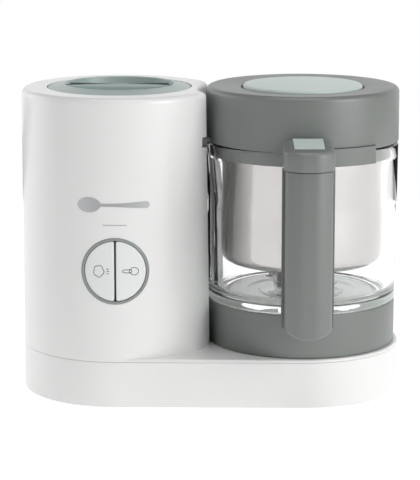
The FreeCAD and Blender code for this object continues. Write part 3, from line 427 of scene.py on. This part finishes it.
glass_jug = turn("glass_jug", JUG, [
    (13, 73), (74.6, 73, 2), (74.6, 77.6), (78.7, 77.6, 1.6), (GLASS_R, RIM_Z - 5), (GLASS_R, RIM_Z, 1.9),
    (75.6, RIM_Z, 1.9), (75.2, 197, 10), (71.4, 160, 60), (70.6, 83, 9), (66.5, 83, 0.8), (65.8, 82.2, 0.8),
    (61, 82.2, 0.8), (60.2, 83, 0.8), (46, 83, 1), (44.8, 81.8, 1), (36, 81.8, 1), (34.8, 83, 1), (13, 83),
    (13, 73)], shift=spout, steps=9)
coat(glass_jug, glass)
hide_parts("jug_glass")
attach(glass_jug, "jug")
print("glass jug:", len(glass_jug.data.polygons), "faces")

# %% Grey foot of the jug
COLLAR_TOP = size("jug_collar")[1][2]
foot_ring = turn("jug_foot_ring", JUG, [
    (75.3, 41.7), (78.3, 41.7, 1.0), (78.3, COLLAR_TOP, 0.7), (75.0, COLLAR_TOP), (75.0, 72.7), (33, 72.7),
    (33, 69.7), (72, 69.7), (75.3, 66), (75.3, 41.7)])
coat(foot_ring, grey_pp)
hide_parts("jug_collar")
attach(foot_ring, "jug")

# %% Silicone between the glass and its foot, pale as painted light
# It wets the glass, so there is no air gap, and the heavy glass floor shows the pale silicone under it. Its
# pale colour is painted light. It stands in for the brightness that light through the wall and reflection
# give the glass floor.
painted_light_bond_corners = [(33.5, 72.7), (74.2, 72.7), (74.2, 73.03), (33.5, 73.03), (33.5, 72.7)]
painted_light_bond = turn("silicone_bond_painted_light", JUG, painted_light_bond_corners, creases=20)
coat(painted_light_bond, bond_silicone_with_painted_light)
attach(painted_light_bond, "jug")

# %% [markdown]
# ## The basket
# A drawn steel cup: the wall is 0.8 mm thick, the lip is turned out to hang in the jug, and the floor has
# rings of 3.6 mm holes for the steam. The holes are cut with one Boolean, and its result is kept, so no
# modifier stays.


# %% Steel cup
def drill(piece, places, radius, low, high, sides=20):
    """Cuts round upright holes at (x, y) places: every drill is one prism in one cutter mesh."""
    a = np.linspace(0, 2 * math.pi, sides, endpoint=False)
    ring = np.stack([radius * np.cos(a), radius * np.sin(a)], axis=-1)
    spots = np.asarray(places)[:, None, :] + ring[None]
    walls = np.stack([np.dstack([spots, np.full(spots.shape[:2], z)]) for z in (low, high)], axis=1)
    one = np.arange(sides)
    faces = [list(one[::-1]), list(one + sides)] + [[i, (i + 1) % sides, (i + 1) % sides + sides, i + sides]
                                                    for i in range(sides)]
    every = [[v + k * 2 * sides for v in face] for k in range(len(places)) for face in faces]
    mesh = bpy.data.meshes.new("drills")
    mesh.from_pydata((walls.reshape(-1, 3) / 1000).tolist(), [], every)
    cutter = bpy.data.objects.new("drills", mesh)
    bpy.context.scene.collection.objects.link(cutter)
    carve(piece, cutter)


basket_low, basket_high = size("basket")
CUP_R, FLOOR_Z, LIP_Z = 67.4, basket_low[2], basket_high[2]
steel_cup = turn("steel_basket", JUG, [
    (0, FLOOR_Z), (CUP_R, FLOOR_Z, 11), (CUP_R, LIP_Z - 1.4, 0.8), (CUP_R + 2.3, LIP_Z - 1.2, 0.5),
    (CUP_R + 2.3, LIP_Z, 0.6), (CUP_R - 0.8, LIP_Z, 0.8), (CUP_R - 0.8, FLOOR_Z + 0.8, 10.2),
    (0, FLOOR_Z + 0.8)], segments=224)
HOLE_R, RING_PITCH = 1.8, 11
holes = [(JUG, 0.0)]
for ring in range(1, 5):
    at = [2 * math.pi * i / (6 * ring) for i in range(6 * ring)]
    holes += [(JUG + RING_PITCH * ring * math.cos(a), RING_PITCH * ring * math.sin(a)) for a in at]
drill(steel_cup, holes, HOLE_R, FLOOR_Z - 3, FLOOR_Z + 4)
coat(steel_cup, brushed_steel)
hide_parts("basket")
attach(steel_cup, "basket")
print("basket:", len(holes), "holes,", len(steel_cup.data.polygons), "faces")

# %% [markdown]
# ## The lid and the soft feed cap
# The lid is one deep drum. Its wall is cut away above the handle's clamp: between two angles, no point of
# it may lie below the cut's ceiling. Two columns of the grid stand at each end of the cut, so that its
# ends are square.

# %% Lid drum
CUT_FROM, CUT_TO = math.radians(270 - 14) + TURN, math.radians(270 + 44.5) + TURN
CUT_Z = size("rim_clamp")[1][2] + 0.5
even = np.linspace(0, 2 * math.pi, 192, endpoint=False)
near = np.minimum(np.abs(even - CUT_FROM), np.abs(even - CUT_TO)) > 0.01
square_ends = [CUT_FROM - 1e-4, CUT_FROM + 1e-4, CUT_TO - 1e-4, CUT_TO + 1e-4]
LID_ANGLES = np.sort(np.concatenate([even[near], square_ends]))


def clamp_cut(r, z, t):
    """Raises the wall's lower edge to the cut's ceiling between the two angles."""
    inside = (t > CUT_FROM) & (t < CUT_TO) & (r > 70)
    return r, np.where(inside, np.maximum(z, CUT_Z), z)


LID_R = lid_high[0] - JUG
LID_BASE, LID_TOP, SEAT_Z = lid_low[2], lid_high[2], 254.2
lid_drum = turn("lid_drum", JUG, [
    (LID_R - 2.5, LID_BASE), (LID_R, LID_BASE, 0.9), (LID_R, LID_TOP, 4.5), (74, LID_TOP, 6),
    (51.4, SEAT_Z, 0.8), (50.3, SEAT_Z - 3.2), (30, SEAT_Z - 3.2), (30, SEAT_Z - 5.8), (70, SEAT_Z - 5.8),
    (LID_R - 2.5, LID_TOP - 6.5), (LID_R - 2.5, LID_BASE)],
    angles=LID_ANGLES, shift=clamp_cut)
coat(lid_drum, grey_pp)
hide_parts("lid_shell")
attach(lid_drum, "lid")

# %% Feed cap
CAP_TOP = size("feed_cap")[1][2]
feed_disc = turn("feed_disc", JUG, [
    (0, CAP_TOP), (49.5, CAP_TOP - 0.7, 2.4), (49.5, SEAT_Z - 2.9, 0.8), (29.5, SEAT_Z - 2.9),
    (29.5, 243, 1.5), (26.5, 243, 1), (26.5, 252), (0, 252)])
coat(feed_disc, mint_tpe)
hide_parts("feed_cap")
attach(feed_disc, "feed_cap")

# %% Blade hub
hub = turn("domed_blade_hub", JUG, [
    (SHAFT_R, 87), (20.5, 87, 1.5), (20.5, 102, 5), (11, 106.5, 4), (0, 106.5), (0, 103), (SHAFT_R, 103),
    (SHAFT_R, 87)],
    segments=64)
coat(hub, black_nylon)
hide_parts("blade_hub")
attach(hub, "blade")

# %% [markdown]
# ## The tank cap
# A dished cap with a bar across the dish to turn it by. The bar's plan is a strip whose ends follow the
# dish's wall: at a distance y from the middle, it is 2 sqrt(R^2 - y^2) long.

# %% Tank cap's dish
cap_low, cap_high = size("tank_cap")
RIDGE_Z = cap_high[2]
DISH_R, DISH_Z = 44.4, 247.5
cap_dish = turn("tank_cap_dish", COLUMN, [
    (0, cap_low[2]), (46.7, cap_low[2]), (46.7, 251.6), (59.4, 251.6), (59.4, 253.7, 0.9), (50, 255.6, 12),
    (47, RIDGE_Z, 0.9), (45.2, RIDGE_Z, 0.8), (DISH_R, DISH_Z, 3.5), (0, DISH_Z)])
coat(cap_dish, sage_pp)
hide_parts("tank_cap")
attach(cap_dish, "cap")


# %% Loft: a plan carried from a low surface to a high one
def loft(name, plan, low, high, edge_low=0.5, edge_high=0.5, place=None, creases=40.0):
    """Closed body over a plan of (a, b) points, from h = low(a, b) to h = high(a, b).

    Each rounded edge is a quarter circle: at angle q the plan shrinks by e (1 - sin q) and the height moves
    in by e (1 - cos q). The flat ends close by scaling the plan to its middle.
    """
    plan = np.asarray(plan, float)
    step = np.roll(plan, -1, axis=0) - np.roll(plan, 1, axis=0)
    inward = np.stack([-step[:, 1], step[:, 0]], axis=-1) / np.linalg.norm(step, axis=1, keepdims=True)
    area = np.sum(plan[:, 0] * np.roll(plan[:, 1], -1) - np.roll(plan[:, 0], -1) * plan[:, 1])
    inward *= np.sign(area)
    middle = plan.mean(axis=0)
    q = np.linspace(0, math.pi / 2, 7)
    rows = []

    def row(inset, scale, from_low, rise):
        spots = middle + (plan + inward * inset - middle) * scale
        height = (low if from_low else high)(spots[:, 0], spots[:, 1]) + rise
        rows.append(np.column_stack([spots, height]))

    for scale in (0, 0.3, 0.6, 0.85):
        row(edge_low, scale, True, 0)
    for angle in q:
        row(edge_low * (1 - math.sin(angle)), 1, True, edge_low * (1 - math.cos(angle)))
    for angle in q[::-1]:
        row(edge_high * (1 - math.sin(angle)), 1, False, -edge_high * (1 - math.cos(angle)))
    for scale in (0.85, 0.6, 0.3, 0):
        row(edge_high, scale, False, 0)
    grid = np.stack(rows)
    if place is not None:
        grid = place(grid)
    return surface(name, grid, creases=creases)


def level(value):
    """A flat low or high surface."""
    return lambda a, b: np.full(np.shape(a), float(value))


# %% Tank cap's finger bar
half = np.linspace(-4.4, 4.4, 17)
reach = np.sqrt((DISH_R + 0.6) ** 2 - half ** 2)
right_end = np.stack([COLUMN + reach, half], axis=-1)
left_end = np.stack([COLUMN - reach, half], axis=-1)
bar_plan = np.concatenate([right_end, left_end[::-1]])
finger_bar = loft("tank_cap_finger_bar", bar_plan, level(DISH_Z - 0.5), level(RIDGE_Z - 0.3), 0.1, 3.9)
coat(finger_bar, sage_pp)
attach(finger_bar, "cap")
print("tank cap: bar", round(2 * reach.max(), 1), "mm long")

# %% Lid's tab over the spout
tab_t = SPOUT_AT + np.radians(np.linspace(-16.9, 16.9, 25))
tab_edge = np.stack([np.cos(tab_t), np.sin(tab_t)], axis=-1)
tab_plan = np.concatenate([85.2 * tab_edge, (LID_R - 1.5) * tab_edge[::-1]]) + (JUG, 0)
spout_cover = loft("lid_spout_cover", tab_plan, level(LID_BASE), level(LID_BASE + 3.9), 0.2, 0.4)
coat(spout_cover, grey_pp)
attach(spout_cover, "lid")

# %% [markdown]
# ## The handle
# The grip is two moulded halves with a cap on top. The front half's plan is a D: straight sides, then a
# shallow bulge towards the hand. Its lower end is cut to an arc, so the low surface rises with the square
# of the distance from the middle, by 5 mm at the sides. The cap slopes down to the front by 4.4 mm in 46,
# and its top edge has a radius of 4.5 mm.


# %% Plans of the handle, ahead of the jug
def d_plan(half, back, front, bulge, back_round, front_round, steps=9):
    """Closed D-shaped plan: corners (x, y) with radii, as the grip is dimensioned, smoothed by `rounded`."""
    middle = (JUG - half, JUG + half)
    corners = [(JUG, -back), (middle[1], -back, back_round), (middle[1], -(front - bulge), front_round),
               (JUG + half * 0.45, -front, half * 0.8), (JUG - half * 0.45, -front, half * 0.8),
               (middle[0], -(front - bulge), front_round), (middle[0], -back, back_round), (JUG, -back)]
    return rounded(corners, steps)[:-1]


def turned_by_handle(grid):
    """Turns points about the jug's axis by the handle's small angle."""
    x, y = grid[..., 0] - JUG, grid[..., 1]
    c, s = math.cos(TURN), math.sin(TURN)
    return np.stack([JUG + c * x - s * y, s * x + c * y, grid[..., 2]], axis=-1)


grip_low, grip_high = size("handle_grip")
GRIP_HALF, GRIP_TOP, GRIP_BASE = 18.6, grip_high[2], grip_low[2]
front_grip = loft("handle_front_half", d_plan(GRIP_HALF, 106.5, 127, 7.5, 0.6, 6),
                  lambda a, b: GRIP_BASE + 5.0 * ((a - JUG) / GRIP_HALF) ** 2, level(GRIP_TOP), 2.2, 0.5,
                  turned_by_handle)
coat(front_grip, grey_pp)
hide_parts("handle_grip")
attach(front_grip, "jug")

# %% Handle's top cap, with a well for the button
CAP_BASE = size("handle_cap")[0][2]
CAP_BACK_Z, CAP_FRONT_Z = 223.0, 218.6


def slope(drop=0.0):
    """The cap's sloping top: height falls evenly from y = -82.4 at the back to -128.4 at the front."""
    return lambda a, b: CAP_BACK_Z + (CAP_FRONT_Z - CAP_BACK_Z) * (-b - 82.4) / 46.0 - drop


cap_plan = d_plan(20.0, 83.2, 128.4, 9, 5.2, 7)
thumb_cap = loft("handle_top_cap", cap_plan, level(CAP_BASE), slope(), 0.6, 4.5, turned_by_handle)
well = loft("well_cutter", rounded([(JUG, -83.0), (JUG + 12.6, -83.0), (JUG + 12.6, -116.3, 1.6),
                                    (JUG - 12.6, -116.3, 1.6), (JUG - 12.6, -83.0), (JUG, -83.0)], 5)[:-1],
            level(206.5), level(240), 0.05, 0.05, turned_by_handle)
carve(thumb_cap, well, creases=40)
coat(thumb_cap, grey_pp)
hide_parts("handle_cap")
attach(thumb_cap, "jug")

# %% Release button
key_plan = rounded([(JUG, -83.6), (JUG + 12.2, -83.6), (JUG + 12.2, -116, 1.4), (JUG - 12.2, -116, 1.4),
                    (JUG - 12.2, -83.6), (JUG, -83.6)], 5)[:-1]
thumb_key = loft("release_key", key_plan, level(214.0), slope(-0.25), 0.2, 0.7, turned_by_handle)
coat(thumb_key, mint_tpe)
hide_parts("release_button")
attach(thumb_key, "release")
print("handle:", [len(p.data.polygons) for p in (front_grip, thumb_cap, thumb_key)], "faces")

# %% [markdown]
# ## Controls on the column
# Bezel, buttons and marks all follow the column's round front, which narrows a little towards the top. A
# point at x and z lies on it at y = -sqrt((R(z) + out)^2 - (x - X0)^2), where out is how far it stands
# off the surface.

# %% The column's front
RING_R = (size("button_bezel")[1][0] - size("button_bezel")[0][0]) / 2
PANEL_Z = float(np.mean([size("button_bezel")[0][2], size("button_bezel")[1][2]]))
COLUMN_FOOT_R, COLUMN_HEAD_R = 81.6, 81.0


def column_r(z):
    """Radius of the column at a height, straight between its foot and its head."""
    return COLUMN_FOOT_R + (COLUMN_HEAD_R - COLUMN_FOOT_R) * (z - SEAM_Z) / (TOP_Z - SEAM_Z)


def on_front(x, z, out):
    """Points on the column's front, out millimetres off its surface."""
    y = -np.sqrt((column_r(z) + out) ** 2 - (x - COLUMN) ** 2)
    return np.stack(np.broadcast_arrays(x, y, z), axis=-1)


# %% Bezel ring
bezel_profile = rounded([(RING_R - 2.2, -3.0), (RING_R, -3.0), (RING_R, 0.55, 0.8), (RING_R - 2.2, 0.4, 0.8),
                         (RING_R - 2.2, -3.0)], 6)[:-1]
round_t = np.linspace(0, 2 * math.pi, 128, endpoint=False)
ring_r, ring_out = bezel_profile[:, :1], bezel_profile[:, 1:]
bezel_grid = on_front(COLUMN + ring_r * np.cos(round_t), PANEL_Z + ring_r * np.sin(round_t), ring_out)
bezel_ring = surface("bezel_ring", bezel_grid, closed_rows=True)
coat(bezel_ring, ring_abs)
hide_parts("button_bezel")
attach(bezel_ring, "base")

# %% Floor behind the buttons
floor_t = np.linspace(0, 2 * math.pi, 96, endpoint=False)
floor_corners = [[0, -13.0], [RING_R - 2.3, -13.0], [RING_R - 2.3, -11.2], [0, -11.2]]
floor_r, floor_out = np.array(floor_corners).T[..., None]
floor_x, floor_z = COLUMN + floor_r * np.cos(floor_t), PANEL_Z + floor_r * np.sin(floor_t)
bezel_floor = surface("bezel_floor", on_front(floor_x, floor_z, floor_out))
coat(bezel_floor, ring_abs)
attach(bezel_floor, "base")


# %% Half-round buttons
def half_moon(side):
    """Plan of one button in (x, z): most of a half circle, 0.8 mm from the middle."""
    r, gap = RING_R - 2.55, 0.8
    end = math.acos(gap / r)
    arc = np.linspace(-end + 0.05, end - 0.05, 49)
    bow = np.stack([r * np.cos(arc), r * np.sin(arc)], axis=-1)
    straight = np.stack([np.full(9, gap), np.linspace(r * 0.955, -r * 0.955, 9)], axis=-1)
    plan = np.vstack([bow, straight])
    plan[:, 0] *= side
    return plan + (COLUMN, PANEL_Z)


def onto_front(grid):
    """Takes (x, z, out) to the column's front."""
    return on_front(grid[..., 0], grid[..., 1], grid[..., 2])


KEY_FACE = 0.15
for side, body in ((-1, "steam_button"), (1, "blend_button")):
    key = loft(body + "_face", half_moon(side), level(-8.8), level(KEY_FACE), 0.1, 0.7, onto_front)
    coat(key, pale_abs)
    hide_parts(body)
    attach(key, body)
print("controls:", round(RING_R, 1), "mm ring at", round(PANEL_Z, 1), "mm")

# %% [markdown]
# ## Printed marks
# The marks are pad-printed: a film of ink 0.05 mm thick. Each line is a thin closed band that follows a
# curve, and the curves are formulas: the steam cloud is a circle with five lobes, and the blade is a loop
# with two petals.

# %% Ink and foil
dark_ink = plastic("dark_grey_pad_ink", "#3E4443", "#454B4A", 0.5, 0.8, 0.02, 0.0)


def band(name, x, z, width, out, closed=True):
    """A flat band of a given width along a curve: its section is width across and 0.05 mm thick."""
    line = np.stack([x, z], axis=-1)
    if closed:
        step = np.roll(line, -1, axis=0) - np.roll(line, 1, axis=0)
    else:
        step = np.gradient(line, axis=0)
    side = np.stack([-step[:, 1], step[:, 0]], axis=-1) / np.linalg.norm(step, axis=1, keepdims=True)
    across = np.array([-0.5, 0.5, 0.5, -0.5])[:, None, None] * width * side
    if not closed:
        across[:, (0, -1)] *= 0
    height = np.array([0.0, 0.0, 0.05, 0.05])[:, None] + out
    spots = line[None] + across
    grid = on_front(spots[..., 0], spots[..., 1], np.broadcast_to(height, spots.shape[:2]))
    return surface(name, grid, closed_rows=True) if closed else surface(name, grid.swapaxes(0, 1))


LINE, INK_BASE = 0.55, 0.16                          # the ink starts 0.01 mm over the keys' faces
loop = np.linspace(0, 2 * math.pi, 160, endpoint=False)
puff = 3.6 * (1 + 0.2 * np.abs(np.cos(2.5 * loop + 0.4)))
cloud = band("steam_cloud_mark", COLUMN - 13.2 + puff * np.cos(loop), PANEL_Z + puff * np.sin(loop) * 1.15,
             LINE, INK_BASE)
petal = 2.2 + 4.2 * np.cos(loop) ** 2
blade_x = COLUMN + 12.4
blade_z = PANEL_Z + petal * np.sin(loop) * 0.72 + 0.9 * np.sin(loop * 2)
blade_mark = band("blade_mark", blade_x + petal * np.cos(loop), blade_z, LINE, INK_BASE)
eye = band("blade_mark_hub", blade_x + 1.1 * np.cos(loop), PANEL_Z + 1.1 * np.sin(loop), 0.5, INK_BASE)
puffs = [band(f"steam_dash_{i}", COLUMN - 7.0 + np.linspace(0, 2.6 - 0.7 * abs(i - 1), 9),
              PANEL_Z + (i - 1) * 1.9 + 0.25 * np.sin(np.linspace(0, 6, 9)), LINE, INK_BASE, closed=False)
         for i in range(3)]
for piece, body in [(cloud, "steam_button"), (blade_mark, "blend_button"), (eye, "blend_button")] + \
        [(p, "steam_button") for p in puffs]:
    coat(piece, dark_ink)
    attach(piece, body)


# %% Silver spoon and line
def spoon_half_width(s):
    """Half the spoon's width at s, 0 at the bowl's tip: an oval bowl, then a slowly widening stem."""
    bowl = 6.2 * np.sqrt(np.clip(1 - ((s - 0.16) / 0.16) ** 2, 0, 1))
    stem = (1.25 + 1.5 * ramp(s, 0.45, 1.0)) * np.sqrt(np.clip((1 - s) / 0.03, 0, 1)) * ramp(s, 0.2, 0.32)
    return np.maximum(np.maximum(bowl, stem), 0)


s = (1 - np.cos(np.linspace(0, math.pi, 121))) / 2
x = COLUMN - 30 + 58 * s
wide = spoon_half_width(s)[:, None] * np.array([-1, -0.5, 0, 0.5, 1, 1, 0.5, 0, -0.5, -1])
out = np.broadcast_to(np.array([0.0] * 5 + [0.12] * 5), wide.shape)
spoon = surface("silver_spoon_mark", on_front(x[:, None], 168.3 + wide, out))
rule = band("silver_rule", COLUMN + np.linspace(-10, 10, 41), np.full(41, 152.0), 0.7, 0.03, closed=False)
for piece in (spoon, rule):
    coat(piece, silver_print)
    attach(piece, "base")
print("marks made")

# %% [markdown]
# ## Camera, floor and light
# The camera stands 1.73 m in front with a long lens, a little above the machine. The floor and the
# backdrop are white. A large soft lamp at the right is the key: it makes the broad light band on every
# round piece. A weaker wide lamp and a side lamp at the left make the light band on the left of the
# steel, and a lamp overhead opens up the lids. Behind the machine stands a lit white backdrop. It is what
# the glass bends into view, and it lights the back views.

# %% Camera
lens_data = bpy.data.cameras.new("front_view")
camera = bpy.data.objects.new("front_view", lens_data)
bpy.context.scene.collection.objects.link(camera)
bpy.context.scene.camera = camera
camera.location = (0.0215, -1.7257, 0.4757)
camera.rotation_euler = (math.radians(79.5), 0, math.radians(0.99))
lens_data.lens = 157.09
lens_data.shift_x = 0.0189
lens_data.shift_y = -0.0781
print("camera:", [round(c, 3) for c in camera.location])


# %% Floor
def lit_floor():
    """A wide white table, slightly mottled like opal acrylic and lit from below, so that it stays pale."""
    x = np.array([-4.0, 4.0, 4.0, -4.0])
    y = np.array([-4.0, -4.0, 0.85, 0.85])
    mesh = bpy.data.meshes.new("floor")
    mesh.from_pydata(np.stack([x, y, np.zeros(4)], axis=-1).tolist(), [], [(0, 1, 2, 3)])
    floor = bpy.data.objects.new("floor", mesh)
    bpy.context.scene.collection.objects.link(floor)
    material, tree, shader, place = start("lit_opal_acrylic")
    mottle = add(tree, "ShaderNodeTexNoise", {"Vector": place, "Scale": 3.0, "Detail": 2.0})
    tree.links.new(tinted(tree, mottle.outputs[0], "#F2F2F2", "#F6F6F6"), shader.inputs["Base Color"])
    shader.inputs["Roughness"].default_value = 0.8
    shader.inputs["Emission Color"].default_value = linear("#FFFFFF")
    shader.inputs["Emission Strength"].default_value = 0.43
    coat(floor, material)
    return floor


lit_floor()

# %% World
# The camera sees a white backdrop. Everything else is lit by a dimmer room, so that the lamps can model
# the forms.
ROOM_LIGHT = 0.06
world = bpy.context.scene.world or bpy.data.worlds.new("studio")
bpy.context.scene.world = world
world.use_nodes = True
room = world.node_tree.nodes["Background"]
room.inputs["Color"].default_value = linear("#F4F6F8")
room.inputs["Strength"].default_value = ROOM_LIGHT
backdrop = add(world.node_tree, "ShaderNodeBackground", {"Color": linear("#FFFFFF"), "Strength": 1.0})
seen = add(world.node_tree, "ShaderNodeLightPath")
both = add(world.node_tree, "ShaderNodeMixShader", {0: seen.outputs["Is Camera Ray"], 1: room.outputs[0],
                                                    2: backdrop.outputs[0]})
world.node_tree.links.new(both.outputs[0], world.node_tree.nodes["World Output"].inputs["Surface"])
bpy.context.scene.view_settings.view_transform = "Standard"


# %% Lamps
def lamp(name, heading, distance, height, width, tall, radiance):
    """A soft upright lamp. heading is degrees from straight ahead, positive to the right."""
    data = bpy.data.lights.new(name, "AREA")
    data.shape = "RECTANGLE"
    data.size, data.size_y = width, tall
    data.energy = radiance * math.pi * width * tall
    light = bpy.data.objects.new(name, data)
    bpy.context.scene.collection.objects.link(light)
    h = math.radians(heading)
    light.location = (distance * math.sin(h), -distance * math.cos(h), height)
    tilt = math.atan2(height - 0.13, distance)
    light.rotation_euler = (math.pi / 2 - tilt, 0, h)
    print(f"lamp {name}: {data.energy:.1f} W")


lamp("key_right", 54, 2.0, 0.9, 1.3, 1.5, 4.9)
lamp("strip_left", -50, 2.0, 0.7, 0.8, 1.4, 0.9)
lamp("side_left", -106, 1.8, 0.7, 1.5, 1.5, 1.9)
lamp("top", 0, 0.35, 1.7, 1.2, 0.9, 2.6)
lamp("white_backdrop", 180, 1.0, 0.46, 3.4, 0.9, 1.05)
